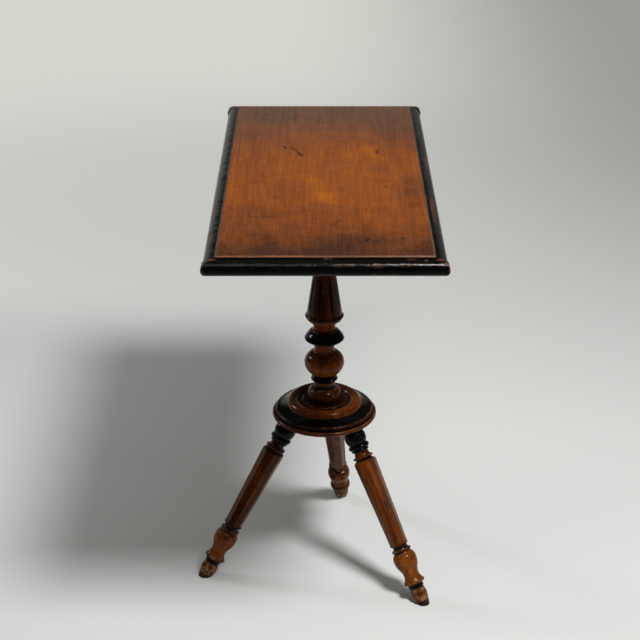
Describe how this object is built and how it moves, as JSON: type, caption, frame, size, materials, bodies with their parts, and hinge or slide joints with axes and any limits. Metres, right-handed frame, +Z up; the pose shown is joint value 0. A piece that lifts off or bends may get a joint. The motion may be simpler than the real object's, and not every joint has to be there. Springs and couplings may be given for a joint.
{
  "type": "side table",
  "caption": "Side table with a long moulded top on a turned, fluted column, a turned platform and three splayed legs.",
  "frame": {"origin": "on the floor, on the column's axis", "axes": "+Z up along the column, +Y along the length of the top, away from the picture's viewer"},
  "size_m": [0.3926, 0.729, 0.71],
  "materials": {
    "panel_wood": "worn polish",
    "ebonised_wood": "gloss, ebonised",
    "bearer_wood": "unpolished",
    "screw_steel": "dulled",
    "turned_wood": "polished, with ebonised bands",
    "wedge_wood": "bare"
  },
  "bodies": {
    "root": {"top_panel": "panel_wood", "moulding_left": "ebonised_wood", "moulding_right": "ebonised_wood", "moulding_front": "ebonised_wood", "moulding_rear": "ebonised_wood", "top_bearer": "bearer_wood", "bearer_screws": "screw_steel", "column": "turned_wood", "wedge_upper": "wedge_wood", "wedge_lower": "wedge_wood", "platform": "turned_wood", "leg_left": "turned_wood", "leg_right": "turned_wood", "leg_rear": "turned_wood"}
  },
  "joints": []
}
